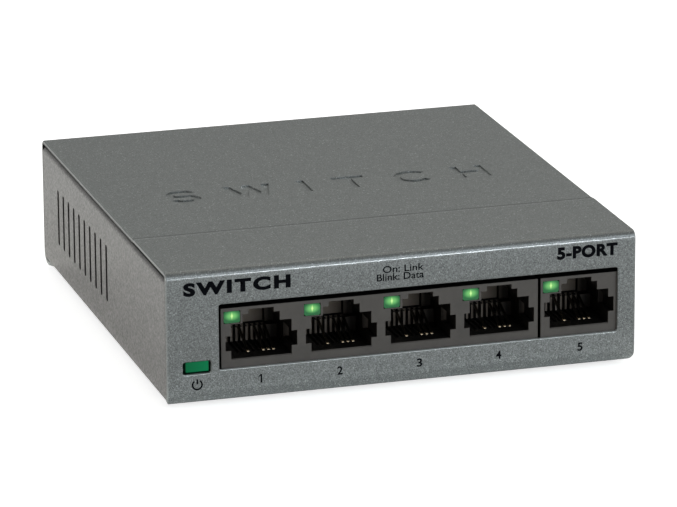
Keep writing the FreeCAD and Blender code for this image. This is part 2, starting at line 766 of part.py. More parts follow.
def contact_tails(centre):
    half, depth = WIRE_WIDTH / 2, WIRE_THICKNESS / 2
    tails = []
    for x in wire_centres(centre):
        tails.append(box(x - half, x + half, TAIL_Y - depth, TAIL_Y + depth, SOLDER_TAIL_END, TAIL_TOP))
    return Part.makeCompound(tails)


def port_led(centre):
    corners = rectangle(centre + LED_LEFT, centre + LED_RIGHT, LED_BOTTOM, LED_TOP, LED_EDGE)
    return prism_y(corners, LED_FACE, JACK_FACE + LED_LENGTH)


def led_lead_centres(centre):
    middle = centre + (LED_LEFT + LED_RIGHT) / 2
    return [middle - LEAD_SPACING / 2, middle + LEAD_SPACING / 2]


def led_leads():
    """Two square wires from the back of each port light, bent down through the board."""
    half = LEAD_SIZE / 2
    path = [
        (JACK_FACE + LED_LENGTH, LEAD_Z + half),
        (LEAD_DROP_Y + half, LEAD_Z + half),
        (LEAD_DROP_Y + half, SOLDER_TAIL_END),
    ]
    outline = strip(path, [LEAD_BEND], -LEAD_SIZE)
    solids = []
    for centre in PORT_CENTRES:
        for x in led_lead_centres(centre):
            solids.append(prism_x(outline, x - half, x + half))
    return Part.makeCompound(solids)


# ---- power light

def power_light_pipe():
    corners = rectangle(PIPE_LEFT, PIPE_RIGHT, PIPE_BOTTOM, PIPE_TOP, PIPE_CORNER)
    bar = prism_y(corners, PIPE_FACE, PIPE_BACK)
    peg = post(PIPE_CENTRE_X, PIPE_PEG_Y, BOARD_BOTTOM + 0.2, PIPE_BOTTOM + 0.5, PIPE_PEG_R)
    return fuse([bar, peg])


def power_led_chip():
    width, depth, height = LIGHT_CHIP_SIZE
    left, right = PIPE_CENTRE_X - width / 2, PIPE_CENTRE_X + width / 2
    return box(left, right, LIGHT_CHIP_Y, LIGHT_CHIP_Y + depth, BOARD_TOP, BOARD_TOP + height)


# ---- DC jack

def dc_jack_housing():
    left, right = DC_X - DC_HALF_WIDTH, DC_X + DC_HALF_WIDTH
    back = DC_FACE - DC_DEPTH
    body = prism_y(rectangle(left, right, DC_BOTTOM, DC_TOP, 0.6), back, DC_FACE)
    tools = [
        rod(DC_X, DC_AXIS_Z, DC_FACE - DC_BORE_DEPTH, DC_FACE + 1, DC_BORE_R),
        rod(DC_X, DC_AXIS_Z, back - 1, DC_FACE, DC_PIN_R + 0.02),
        box(DC_X - LEAF_POCKET_HALF, DC_X + LEAF_POCKET_HALF, *LEAF_POCKET),
        box(DC_X - LEAF_POCKET_HALF, DC_X + LEAF_POCKET_HALF, *LEAF_FOOT_SLOT),
    ]
    return cut(body, tools)


def dc_jack_pin():
    """Centre pin with a domed tip, and the blade that takes it down through the board."""
    back, half = PIN_BLADE_BACK, BLADE_HALF_WIDTH
    pin = rod(DC_X, DC_AXIS_Z, back, DC_PIN_TIP - DC_PIN_R, DC_PIN_R)
    tip = Part.makeSphere(DC_PIN_R, V(DC_X, DC_PIN_TIP - DC_PIN_R, DC_AXIS_Z))
    blade_top = DC_AXIS_Z + half
    blade = box(DC_X - half, DC_X + half, back, back + PIN_BLADE_THICKNESS, SOLDER_TAIL_END, blade_top)
    return fuse([pin, tip, blade])


def dc_jack_spring():
    """Leaf that presses up on the plug's sleeve."""
    half = LEAF_WIDTH / 2
    path = [(y, z - LEAF_THICKNESS / 2) for y, z in (LEAF_ROOT, LEAF_CREST, LEAF_TIP)]
    return prism_x(strip(path, [-LEAF_BEND], LEAF_THICKNESS), DC_X - half, DC_X + half)


def dc_jack_terminal():
    """Fixed blade that carries the leaf and goes down through the board."""
    front, back = TERMINAL_Y - TERMINAL_THICKNESS / 2, TERMINAL_Y + TERMINAL_THICKNESS / 2
    left, right = DC_X - BLADE_HALF_WIDTH, DC_X + BLADE_HALF_WIDTH
    return box(left, right, front, back, SOLDER_TAIL_END, LEAF_ROOT[1] - LEAF_THICKNESS)


# ---- board and its components

def circuit_board():
    board = box(-BOARD_HALF_WIDTH, BOARD_HALF_WIDTH, BOARD_FRONT, BOARD_BACK, BOARD_BOTTOM, BOARD_TOP)
    low, high = BOARD_BOTTOM - 1, BOARD_TOP + 1
    tools = [post(x, y, low, high, CLEAR_HOLE_R) for x, y in STANDOFFS]
    for centre in PORT_CENTRES:
        for x in wire_centres(centre):
            tools.append(post(x, TAIL_Y, low, high, TAIL_HOLE_R))
        for x in led_lead_centres(centre):
            tools.append(post(x, LEAD_DROP_Y, low, high, LEAD_HOLE_R))
    tools.append(post(PIPE_CENTRE_X, PIPE_PEG_Y, low, high, PIPE_PEG_R + 0.05))
    half_x, half_y = BLADE_SLOT
    for y in (PIN_BLADE_BACK + PIN_BLADE_THICKNESS / 2, TERMINAL_Y):
        tools.append(box(DC_X - half_x, DC_X + half_x, y - half_y, y + half_y, low, high))
    return cut(board, tools)


def on_board(x, y, half_x, half_y, low, high):
    """Box centred on x, y, between two heights above the board."""
    return box(x - half_x, x + half_x, y - half_y, y + half_y, BOARD_TOP + low, BOARD_TOP + high)


def chip(x, y, half_x, half_y, height, leads_x, leads_y, lead_width, pitch):
    """Moulded package with leads along its x and y sides."""
    solids = [on_board(x, y, half_x, half_y, CHIP_LIFT, height)]
    half_width, half_reach = lead_width / 2, (CHIP_LEAD_REACH + CHIP_LIFT) / 2
    middle_x = half_x - CHIP_LIFT + half_reach
    middle_y = half_y - CHIP_LIFT + half_reach
    for side in (-1, 1):
        for i in range(leads_x):
            lead_x = x + (i - (leads_x - 1) / 2) * pitch
            lead_y = y + side * middle_y
            solids.append(on_board(lead_x, lead_y, half_width, half_reach, 0, CHIP_LEAD_THICKNESS))
        for i in range(leads_y):
            lead_x = x + side * middle_x
            lead_y = y + (i - (leads_y - 1) / 2) * pitch
            solids.append(on_board(lead_x, lead_y, half_reach, half_width, 0, CHIP_LEAD_THICKNESS))
    return fuse(solids)


def eight_lead_chip(x, y):
    return chip(x, y, 2.45, 1.95, 1.6, 4, 0, 0.42, 1.27)


def switch_chip():
    half = SWITCH_CHIP_SIZE / 2
    sides = CHIP_LEADS_PER_SIDE
    return chip(*SWITCH_CHIP, half, half, CHIP_HEIGHT, sides, sides, 0.28, 0.6)


def thermal_pad():
    half = SWITCH_CHIP_SIZE / 2 - 0.5
    return on_board(*SWITCH_CHIP, half, half, CHIP_HEIGHT, CHIP_HEIGHT + PAD_HEIGHT)


def heat_sink():
    x, y = SWITCH_CHIP
    half, half_fin = HEAT_SINK_SIZE / 2, FIN_THICKNESS / 2
    low = CHIP_HEIGHT + PAD_HEIGHT
    fin_low = low + HEAT_SINK_BASE
    solids = [on_board(x, y, half, half, low, fin_low)]
    for i in range(HEAT_SINK_FINS):
        fin_x = x - half + half_fin + i * (HEAT_SINK_SIZE - FIN_THICKNESS) / (HEAT_SINK_FINS - 1)
        solids.append(on_board(fin_x, y, half_fin, half, fin_low, low + HEAT_SINK_HEIGHT))
    return fuse(solids)


def lan_transformers():
    solids = [chip(x, TRANSFORMER_Y, 5.9, 3.5, 5.2, 8, 0, 0.5, 1.27) for x in PORT_CENTRES]
    return Part.makeCompound(solids)


def memory_chip():
    return eight_lead_chip(*MEMORY_CHIP)


def regulator_chips():
    return Part.makeCompound([eight_lead_chip(x, y) for x, y in REGULATORS])


def crystal():
    return prism_z(rectangle(*CRYSTAL, 2.2), BOARD_TOP, BOARD_TOP + 3.6)


def electrolytic_capacitors():
    """Cans with a plastic foot each."""
    cans = []
    for x, y, radius, height in CAPACITORS:
        can = post(x, y, BOARD_TOP + CAPACITOR_FOOT, BOARD_TOP + height, radius)
        cans.append(fuse([can, on_board(x, y, radius, radius, 0, CAPACITOR_FOOT)]))
    return Part.makeCompound(cans)


def power_inductors():
    half = INDUCTOR_HALF
    solids = []
    for x, y in INDUCTORS:
        corners = rectangle(x - half, x + half, y - half, y + half, 1.2)
        solids.append(prism_z(corners, BOARD_TOP, BOARD_TOP + 4.0))
    return Part.makeCompound(solids)


def ceramic_capacitors():
    x, y = SWITCH_CHIP
    spots = [(x + dx, y + dy) for dx in (-11.5, 11.5) for dy in (-6.0, 0.0, 6.0)]
    spots += [(supply_x, 29.0) for supply_x in (-4.0, 0.0, 4.0, 18.0, 26.0, 32.0)]
    return Part.makeCompound([on_board(*spot, 0.62, 1.0, 0, 1.25) for spot in spots])


def chip_resistors():
    spots = [(centre + dx, -17.2) for centre in PORT_CENTRES for dx in (-4.5, -1.5, 1.5, 4.5)]
    return Part.makeCompound([on_board(*spot, 0.4, 0.8, 0, 0.45) for spot in spots])


def write_parts():
    block_ports = list(zip(PORT_CENTRES[:4], NOTCH_BOTTOMS[:4]))
    single_port = [(PORT_CENTRES[4], NOTCH_BOTTOMS[4])]
    nodes = {
        "top_cover": top_cover(),
        "base_tray": base_tray(),
        "case_screws": case_screws(),
        "rubber_feet": rubber_feet(),
        "bottom_label": bottom_label(),
        "board_standoffs": board_standoffs(),
        "board_screws": board_screws(),
        "circuit_board": circuit_board(),
        "port_block_housing": jack_body(BLOCK_LEFT, BLOCK_RIGHT, block_ports),
        "port_5_housing": jack_body(SINGLE_LEFT, SINGLE_RIGHT, single_port),
        "led_leads": led_leads(),
        "power_light_pipe": power_light_pipe(),
        "power_led_chip": power_led_chip(),
        "dc_jack_housing": dc_jack_housing(),
        "dc_jack_pin": dc_jack_pin(),
        "dc_jack_spring": dc_jack_spring(),
        "dc_jack_terminal": dc_jack_terminal(),
        "switch_chip": switch_chip(),
        "thermal_pad": thermal_pad(),
        "heat_sink": heat_sink(),
        "lan_transformers": lan_transformers(),
        "memory_chip": memory_chip(),
        "regulator_chips": regulator_chips(),
        "crystal": crystal(),
        "electrolytic_capacitors": electrolytic_capacitors(),
        "power_inductors": power_inductors(),
        "ceramic_capacitors": ceramic_capacitors(),
        "chip_resistors": chip_resistors(),
    }
    for number, centre in enumerate(PORT_CENTRES, start=1):
        nodes[f"port_{number}_contacts"] = contacts(centre)
        nodes[f"port_{number}_contact_tails"] = contact_tails(centre)
        nodes[f"port_{number}_led"] = port_led(centre)
    os.makedirs("parts", exist_ok=True)
    for name, shape in nodes.items():
        if not shape.isValid() or shape.Volume <= 0:
            raise ValueError(f"{name} is not a sound solid")
        shape.exportStep(f"parts/{name}.step")


write_parts()
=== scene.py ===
"""Desktop network switch: materials, printed markings, studio and camera around the CAD frame.

Everything is in metres, in the row frame: port side towards -Y, +X to the right, +Z up.
"""

import bpy
import json
import math
from mathutils import Matrix, Vector


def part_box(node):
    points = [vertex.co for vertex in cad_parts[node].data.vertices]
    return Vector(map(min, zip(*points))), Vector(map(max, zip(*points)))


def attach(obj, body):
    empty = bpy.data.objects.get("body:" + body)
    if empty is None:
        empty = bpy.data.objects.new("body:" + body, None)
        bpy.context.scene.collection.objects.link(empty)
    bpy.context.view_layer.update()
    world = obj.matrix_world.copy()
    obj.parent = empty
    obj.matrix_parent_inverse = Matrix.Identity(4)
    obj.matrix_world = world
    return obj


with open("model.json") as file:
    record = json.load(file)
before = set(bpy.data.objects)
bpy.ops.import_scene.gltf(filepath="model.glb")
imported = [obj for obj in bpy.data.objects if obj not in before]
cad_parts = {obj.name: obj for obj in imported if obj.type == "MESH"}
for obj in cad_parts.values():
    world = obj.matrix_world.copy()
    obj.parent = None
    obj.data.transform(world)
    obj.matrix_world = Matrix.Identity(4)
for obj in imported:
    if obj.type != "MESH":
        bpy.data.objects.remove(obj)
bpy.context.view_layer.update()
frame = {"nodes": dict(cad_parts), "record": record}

MM = 0.001
NODES = frame["nodes"]

# ---- places worked out from the CAD parts
COVER_LOW, COVER_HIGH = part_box("top_cover")
TRAY_LOW, TRAY_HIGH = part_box("base_tray")
PANEL_Y = COVER_LOW.y
CREASE_Y = -25.7 * MM  # shallow step across the top
JACK_FACE_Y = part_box("port_block_housing")[0].y
WIRE_LOW_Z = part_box("port_1_contacts")[0].z
PORT_X = []  # the middle of each port's contacts
for number in range(1, 6):
    low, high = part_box(f"port_{number}_contacts")
    PORT_X.append((low.x + high.x) / 2)
DATUM_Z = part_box("circuit_board")[1].z - 5 * MM  # heights of the markings count from here

# ---- printed markings, in millimetres from the datum and from the case's middle
INK_THICKNESS = 0.012 * MM
DIGIT_HEIGHT = 1.7
DIGIT_HALF_WIDTH = 0.32 * DIGIT_HEIGHT
DIGIT_WEIGHT = 0.025
DIGIT_MIDDLE_Z = 3.15
DIGIT_X = (-28.55, -12.85, 3.09, 19.08, 35.73)
WORDS = (  # name, words, left, right, bottom, top, extra weight, letter spacing
    ("front_name", "SWITCH", -43.6, -22.5, 20.7, 23.4, 0.055, 1.25),
    ("front_kind", "5-PORT", 30.9, 43.25, 21.1, 23.65, 0.055, 1.1),
    ("legend_line_1", "On: Link", -4.2, 4.0, 21.75, 23.15, 0.012, 1.0),
    ("legend_line_2", "Blink: Data", -5.4, 4.0, 20.2, 21.6, 0.012, 1.0),
)
SYMBOL_X, SYMBOL_Z, SYMBOL_RADIUS, SYMBOL_LINE = -41.11, 3.07, 0.93, 0.33
SYMBOL_BAR = (0.1, 1.15)  # lower and upper end, from the ring's middle
SYMBOL_GAP = math.radians(34)  # half of the ring's opening
SYMBOL_STEPS = 40

# ---- camera, from the photograph's perspective
VIEW_AZIMUTH = math.radians(-16.496)
VIEW_ELEVATION = math.radians(16.834)
VIEW_ROLL = math.radians(-0.373)
VIEW_OFFSET = Vector((-1.807, -10.314, 993.076)) * MM  # the datum's middle, seen by the camera
VIEW_LENS = 261.95
SENSOR_WIDTH = 36.0

# ---- studio
WORLD_LIGHT = 0.30
WORLD_GLOW = 1.0
FLOOR_HALF = 12.0
LIGHT_AIM_Z = 0.015
FLOOR_GLOW = 0.75
LIGHTS = (  # name, azimuth, elevation, distance, width, height, watts, colour
    ("left_box", -93, 4, 0.9, 0.7, 0.22, 3.45, (1.0, 0.985, 0.965)),
    ("front_key", 24, 34, 1.0, 0.5, 0.3, 1.55, (0.80, 0.915, 1.0)),
    ("overhead", 150, 66, 1.1, 0.8, 0.8, 3.65, (1.0, 0.98, 0.90)),
    ("rear_fill", 115, 20, 1.2, 0.9, 0.6, 2.4, (1.0, 0.98, 0.93)),
    ("bend_glint", 16.5, 11, 1.0, 0.3, 0.03, 4.0, (0.88, 0.95, 1.0)),  # the line along the front bend
)


# ---------------------------------------------------------------- node helpers

class Shader:
    """A node material with a Principled surface, and short calls that add nodes to it."""

    def __init__(self, name):
        self.material = bpy.data.materials.new(name)
        self.material.use_nodes = True
        self.tree = self.material.node_tree
        self.surface = self.tree.nodes["Principled BSDF"]

    def link(self, value, socket):
        if isinstance(value, bpy.types.NodeSocket):
            self.tree.links.new(value, socket)
        else:
            socket.default_value = value

    def set(self, **inputs):
        for name, value in inputs.items():
            self.link(value, self.surface.inputs[name.replace("_", " ")])

    def node(self, kind, **settings):
        node = self.tree.nodes.new("ShaderNode" + kind)
        for name, value in settings.items():
            setattr(node, name, value)
        return node

    def position(self, space="Object"):
        return self.node("TexCoord").outputs[space]

    def stretched(self, vector, scale):
        node = self.node("Mapping")
        self.link(vector, node.inputs["Vector"])
        node.inputs["Scale"].default_value = scale
        return node.outputs["Vector"]

    def noise(self, size, detail=2.0, roughness=0.5, vector=None):
        """Noise whose lumps are about size metres across."""
        node = self.node("TexNoise")
        self.link(vector or self.position(), node.inputs["Vector"])
        node.inputs["Scale"].default_value = 1.0 / size
        node.inputs["Detail"].default_value = detail
        node.inputs["Roughness"].default_value = roughness
        return node.outputs["Fac"]

    def cells(self, size):
        """A random colour in each cell, about size metres across."""
        node = self.node("TexVoronoi")
        self.link(self.position(), node.inputs["Vector"])
        node.inputs["Scale"].default_value = 1.0 / size
        return node.outputs["Color"]

    def ramp(self, value, *stops):
        """stops are (place, colour or grey level)."""
        node = self.node("ValToRGB")
        self.link(value, node.inputs["Fac"])
        elements = node.color_ramp.elements
        while len(elements) < len(stops):
            elements.new(0.5)
        for element, (place, colour) in zip(elements, stops):
            element.position = place
            grey = isinstance(colour, (int, float))
            element.color = (colour, colour, colour, 1.0) if grey else (*colour, 1.0)
        return node.outputs["Color"]

    def math(self, operation, a, b=0.0):
        node = self.node("Math", operation=operation)
        self.link(a, node.inputs[0])
        self.link(b, node.inputs[1])
        return node.outputs["Value"]

    def plus(self, a, b):
        return self.math("ADD", a, b)

    def minus(self, a, b):
        return self.math("SUBTRACT", a, b)

    def times(self, a, b):
        return self.math("MULTIPLY", a, b)

    def over(self, a, b):
        return self.math("DIVIDE", a, b)

    def either(self, a, b):
        """The larger of two masks."""
        return self.math("MAXIMUM", a, b)

    def size(self, value):
        """The value without its sign."""
        return self.math("ABSOLUTE", value)

    def above(self, value, limit):
        """1 where the value is more than the limit, else 0."""
        return self.math("GREATER_THAN", value, limit)

    def below(self, value, limit):
        """1 where the value is less than the limit, else 0."""
        return self.math("LESS_THAN", value, limit)

    def mix(self, factor, a, b, blend="MIX"):
        """Colour a turned into colour b by the factor."""
        node = self.node("Mix", data_type="RGBA", blend_type=blend)
        self.link(factor, node.inputs["Factor"])
        colours = [socket for socket in node.inputs if socket.type == "RGBA"]
        for value, socket in zip((a, b), colours):
            plain = isinstance(value, tuple) and len(value) == 3
            self.link((*value, 1.0) if plain else value, socket)
        return [socket for socket in node.outputs if socket.type == "RGBA"][0]

    def tinted(self, base, tone):
        """A colour multiplied by another."""
        return self.mix(1.0, base, tone, "MULTIPLY")

    def axes(self, vector):
        """X, Y and Z of a vector."""
        node = self.node("SeparateXYZ")
        self.link(vector, node.inputs["Vector"])
        return node.outputs["X"], node.outputs["Y"], node.outputs["Z"]

    def normals(self):
        """X, Y and Z of the surface's direction."""
        return self.axes(self.node("NewGeometry").outputs["Normal"])

    def bump(self, height, depth, strength):
        node = self.node("Bump")
        self.link(height, node.inputs["Height"])
        node.inputs["Distance"].default_value = depth
        node.inputs["Strength"].default_value = strength
        return node.outputs["Normal"]


def scaled(colour, factor):
    return tuple(channel * factor for channel in colour)


# ---------------------------------------------------------------- materials

FLAKE_SIZE = 0.22 * MM
EDGE_BAND = 0.30 * MM  # of a side edge, painted paler as a highlight
SKIN = 0.62 * MM  # of the cover's sheet that outside light reaches
FOLD_SPAN = 4 * MM  # over which the crease's painted shade and highlight lines are laid
LOW_SPAN = 10 * MM  # height over which the painted light from the floor fades


def speckled(shader, colour, flakes, upward, flake_glint, grain_size, speck, cloud):
    """Grain, soft clouds, and metal flakes with painted glints; the grain is painted fainter on upward
    faces, where the flakes catch less light.
    """
    tone = shader.ramp(shader.noise(grain_size, 1.0, 0.6), (0.30, 1.0 - speck), (0.70, 1.0 + speck))
    # painted light: the grain fades on upward faces
    tone = shader.mix(shader.times(upward, 0.3), tone, (1.0, 1.0, 1.0))
    clouds = shader.ramp(shader.noise(2.2 * MM, 3.0), (0.3, 1.0 - cloud), (0.7, 1.0 + cloud))
    base = shader.tinted(shader.tinted(colour, tone), clouds)
    # painted glint: flake cells are lifted towards 2.6 times the paint colour
    painted_glint = shader.ramp(flakes, (0.80, 0.0), (0.92, flake_glint))
    return shader.mix(painted_glint, base, scaled(colour, 2.6))


def worn_edges(shader, base, colour, place, nz, edge_highlight):
    """Painted highlights: paler paint on the side edges, and on the lower cut edges of the openings."""
    x, y, z = place
    side = shader.above(shader.size(x), COVER_HIGH.x - EDGE_BAND)
    # painted highlight on the side edges
    base = shader.mix(shader.times(side, edge_highlight), base, scaled(colour, 2.2))
    # painted highlight on the lower cut edges of the openings
    upward = shader.above(nz, 0.3)
    cut = shader.times(upward, shader.below(z, COVER_HIGH.z - 5 * MM))
    return shader.mix(shader.times(cut, 3 * edge_highlight), base, scaled(colour, 2.7))


def bent_tones(shader, base, place, nz):
    """Painted shade and highlight: a dark and a light line along the crease, and painted shade at the
    start of each bend.
    """
    x, y, z = place
    across = shader.plus(shader.over(shader.minus(y, CREASE_Y), FOLD_SPAN), 0.5)
    # painted shade and highlight along the crease
    crease_shade_and_highlight = shader.ramp(across, (0.12, 1.0), (0.22, 1.18), (0.32, 1.18),
                       (0.37, 0.56), (0.63, 0.56), (0.70, 1.0))
    on_top = shader.above(z, COVER_HIGH.z - 0.5 * MM)
    base = shader.mix(on_top, base, shader.tinted(base, crease_shade_and_highlight))
    # painted shade where each bend starts, by the surface's direction
    bend_start_shade = shader.ramp(nz, (0.50, 1.0), (0.78, 0.74), (0.96, 0.74), (0.99, 1.0))
    return shader.tinted(base, bend_start_shade)


def powder_coat(name, colour, shaded_inside, edge_highlight, flake_glint, grain_size, speck, cloud, painted_floor_light):
    """Fine-textured paint with metal flakes.

    inner(shader) is 1 on the case's unlit inside faces, which get painted shade. wear is how much paler
    the edges are painted as highlights, and painted_floor_light how much painted floor light brightens the
    paint towards the floor."""
    shader = Shader(name)
    place = shader.axes(shader.position())
    nx, ny, nz = shader.normals()
    upward = shader.above(nz, 0.55)
    flakes = shader.cells(FLAKE_SIZE)
    base = speckled(shader, colour, flakes, upward, flake_glint, grain_size, speck, cloud)
    # painted highlights on the edges
    base = worn_edges(shader, base, colour, place, nz, edge_highlight)
    # painted shade: the unlit inside faces are darkened to 12% of the paint colour
    base = shader.mix(shaded_inside(shader), base, scaled(colour, 0.12))
    # painted shade and highlight at the crease and the bends
    base = bent_tones(shader, base, place, nz)
    # painted light: the paint is brightened towards the floor, up to 2.35 times at the bottom
    height = shader.over(place[2], LOW_SPAN)
    floor_light_ramp = shader.ramp(height, (0.15, 2.35), (0.28, 1.65), (0.50, 1.22), (0.9, 1.0))
    base = shader.mix(painted_floor_light, base, shader.tinted(base, floor_light_ramp))
    shader.set(
        Base_Color=base,
        Metallic=0.35,
        Roughness=shader.ramp(flakes, (0.0, 0.42), (1.0, 0.60)),
        Normal=shader.bump(shader.noise(0.30 * MM, 2.0, 0.6), 0.03 * MM, 0.8),
        Coat_Weight=shader.minus(0.9, shader.times(upward, 0.75)),
        Coat_Roughness=0.14,
        Coat_Normal=shader.bump(shader.noise(0.45 * MM, 2.0, 0.6), 0.03 * MM, 0.5),
    )
    return shader.material


def inside_cover(shader):
    """1 behind the cover's skin, above its lower bends, where shade is painted."""
    x, y, z = shader.axes(shader.position())
    behind = shader.below(shader.size(y), -PANEL_Y - SKIN)
    below = shader.below(z, COVER_HIGH.z - SKIN)
    above = shader.above(z, COVER_LOW.z + 3 * MM)
    return shader.times(shader.times(behind, below), above)


def inside_tray(shader):
    """1 on the faces inside the tray's floor and sides, where shade is painted."""
    x, y, z = shader.axes(shader.position())
    behind = shader.below(shader.size(x), TRAY_HIGH.x - 0.08 * MM)
    above = shader.above(z, TRAY_LOW.z + 0.8 * MM)
    below_bend = shader.below(z, TRAY_HIGH.z - 1.2 * MM)
    deeper = shader.below(shader.size(x), TRAY_HIGH.x - 0.5 * MM)
    return shader.times(above, shader.either(deeper, shader.times(behind, below_bend)))


LIT_SHIFT = 3.5 * MM  # the lit part of a cavity's back wall is this far left of the contacts
CAVITY_SPAN = 10 * MM


def jack_plastic(name, colour):
    """Moulded plastic, matt on the face; in the cavities, painted light left of each port's contacts and
    painted shade towards the right, on the floor and on the right walls.
    """
    shader = Shader(name)
    x, y, z = shader.axes(shader.position())
    nx, ny, nz = shader.normals()
    deep = shader.above(y, JACK_FACE_Y + 0.2 * MM)
    unlit = shader.either(shader.above(nz, 0.5), shader.below(nx, -0.5))
    tone = shader.ramp(shader.noise(3 * MM, 3.0), (0.3, scaled(colour, 0.88)), (0.7, scaled(colour, 1.12)))
    from_lit = 1.0
    for centre in PORT_X:
        distance = shader.size(shader.minus(x, centre - LIT_SHIFT))
        from_lit = shader.math("MINIMUM", from_lit, distance)
    shade = shader.over(from_lit, CAVITY_SPAN)
    # painted light and shade: deep faces near the lit spot are up to 4.4 times the colour, far ones 0.3
    # times
    wall_light_and_shade = shader.ramp(shade, (0.35, scaled(colour, 4.4)), (0.75, scaled(colour, 0.3)))
    tone = shader.mix(deep, tone, wall_light_and_shade)
    shader.set(
        # painted shade: upward and left-facing faces deep in the cavities go near black
        Base_Color=shader.mix(shader.times(deep, unlit), tone, scaled(colour, 0.06)),
        Roughness=shader.ramp(shader.noise(1.2 * MM), (0.3, 0.44), (0.7, 0.58)),
        Specular_IOR_Level=shader.minus(0.5, shader.times(deep, 0.35)),
        Normal=shader.bump(shader.noise(0.12 * MM, 2.0), 0.01 * MM, 0.3),
    )
    return shader.material


def moulded_plastic(name, colour, roughness):
    shader = Shader(name)
    tone = shader.ramp(shader.noise(3 * MM, 3.0), (0.3, scaled(colour, 0.85)), (0.7, scaled(colour, 1.12)))
    shader.set(
        Base_Color=tone,
        Roughness=shader.ramp(shader.noise(1.2 * MM), (0.3, roughness - 0.06), (0.7, roughness + 0.08)),
        Normal=shader.bump(shader.noise(0.12 * MM, 2.0), 0.01 * MM, 0.3),
    )
    return shader.material


def plated_metal(name, colour, roughness):
    shader = Shader(name)
    scratches = shader.noise(0.25 * MM, 3.0, vector=shader.stretched(shader.position(), (1.0, 1.0, 0.15)))
    tone = shader.ramp(shader.noise(1.5 * MM), (0.3, scaled(colour, 0.8)), (0.75, colour))
    shader.set(
        Base_Color=tone,
        Metallic=1.0,
        Roughness=shader.ramp(scratches, (0.3, roughness), (0.7, roughness + 0.15)),
    )
    return shader.material


def contact_metal(name):
    """Gold-plated wire, with painted shade along its span, and a painted glint that glows on its lower
    bend.
    """
    shader = Shader(name)
    x, y, z = shader.axes(shader.position())
    # painted glint: the lowest 0.14 mm of the wire glows
    glint = shader.below(z, WIRE_LOW_Z + 0.14 * MM)
    # painted shade: the wire above its lower bend is near black
    span = shader.above(z, WIRE_LOW_Z + 0.4 * MM)
    gold = shader.ramp(shader.noise(1.5 * MM), (0.3, (0.72, 0.60, 0.42)), (0.75, (0.92, 0.80, 0.60)))
    shader.set(
        Base_Color=shader.mix(span, gold, (0.055, 0.048, 0.038)),
        Metallic=1.0,
        Roughness=shader.ramp(shader.noise(0.6 * MM), (0.3, 0.34), (0.7, 0.42)),
        Emission_Color=(1.0, 0.96, 0.88, 1.0),
        Emission_Strength=shader.times(glint, 0.65),
    )
    return shader.material


def rubber(name):
    shader = Shader(name)
    speck = shader.noise(0.15 * MM, 3.0)
    shader.set(
        Base_Color=shader.ramp(shader.noise(2 * MM),
                               (0.3, (0.010, 0.010, 0.010)), (0.7, (0.022, 0.021, 0.021))),
        Roughness=0.72,
        Normal=shader.bump(speck, 0.02 * MM, 0.5),
    )
    return shader.material


def port_lamp(name):
    """Lit epoxy lens: a narrow pale hot spot in a green block with dark rims."""
    shader = Shader(name)
    x, y, z = shader.axes(shader.position("Generated"))
    across = shader.times(shader.minus(x, 0.5), 2.0)
    up = shader.times(shader.minus(z, 0.60), 2.2)
    wide = shader.math("SQRT", shader.plus(shader.times(across, across), shader.times(up, up)))
    narrow = shader.plus(shader.times(shader.size(across), 4.5), shader.size(up))
    glow = shader.ramp(
        wide,
        (0.0, (0.24, 0.56, 0.16)),
        (0.45, (0.13, 0.40, 0.11)),
        (0.8, (0.035, 0.16, 0.042)),
        (1.0, (0.006, 0.045, 0.014)),
    )
    hot = shader.ramp(narrow, (0.0, 1.0), (0.30, 0.75), (0.85, 0.0))
    shader.set(
        Base_Color=(0.02, 0.16, 0.05, 1.0),
        Roughness=0.2,
        Emission_Color=shader.mix(hot, glow, (0.70, 0.98, 0.36)),
        Emission_Strength=1.0,
    )
    return shader.material


def light_pipe(name):
    """Clear plastic lit from inside, a little brighter to the right, with an unlit rim and sides."""
    shader = Shader(name)
    x, y, z = shader.axes(shader.position("Generated"))
    glow = shader.ramp(x, (0.0, (0.0, 0.105, 0.036)), (1.0, (0.0, 0.165, 0.060)))
    nx, ny, nz = shader.normals()
    rim = shader.above(shader.size(shader.minus(x, 0.5)), 0.47)
    glow = shader.mix(shader.either(rim, shader.above(ny, -0.6)), glow, (0.0, 0.004, 0.002))
    shader.set(
        Base_Color=(0.0, 0.03, 0.01, 1.0),
        Roughness=0.4,
        Specular_IOR_Level=0.12,
        Emission_Color=glow,
        Emission_Strength=0.9,
        Normal=shader.bump(shader.noise(0.5 * MM), 0.01 * MM, 0.3),
    )
    return shader.material


def circuit_green(name):
    """Solder mask over copper tracks, with a fine weave showing through."""
    shader = Shader(name)
    vector = shader.stretched(shader.position(), (1.0, 1.0, 0.0))
    brick = shader.node("TexBrick")
    shader.link(vector, brick.inputs["Vector"])
    brick.inputs["Scale"].default_value = 1.0 / (4.2 * MM)
    brick.inputs["Mortar Size"].default_value = 0.035
    brick.inputs["Color1"].default_value = (0.006, 0.075, 0.035, 1)
    brick.inputs["Color2"].default_value = (0.008, 0.090, 0.040, 1)
    brick.inputs["Mortar"].default_value = (0.02, 0.17, 0.07, 1)
    shader.set(
        Base_Color=brick.outputs["Color"],
        Roughness=0.3,
        Normal=shader.bump(brick.outputs["Fac"], 0.03 * MM, 0.6),
    )
    return shader.material


def label_film(name):
    """Blank satin film with a fine printed border."""
    shader = Shader(name)
    x, y, z = shader.axes(shader.position("Generated"))
    edges = []
    for place, inset, line in ((x, 0.03, 0.006), (y, 0.07, 0.012)):
        from_middle = shader.size(shader.minus(place, 0.5))
        gap = shader.size(shader.minus(from_middle, 0.5 - inset))
        edges.append(shader.below(gap, line / 2))
    border = shader.either(edges[0], edges[1])
    shader.set(
        Base_Color=shader.mix(border, (0.66, 0.66, 0.64), (0.18, 0.18, 0.18)),
        Roughness=0.45,
        Normal=shader.bump(shader.noise(1.5 * MM), 0.02 * MM, 0.3),
    )
    return shader.material


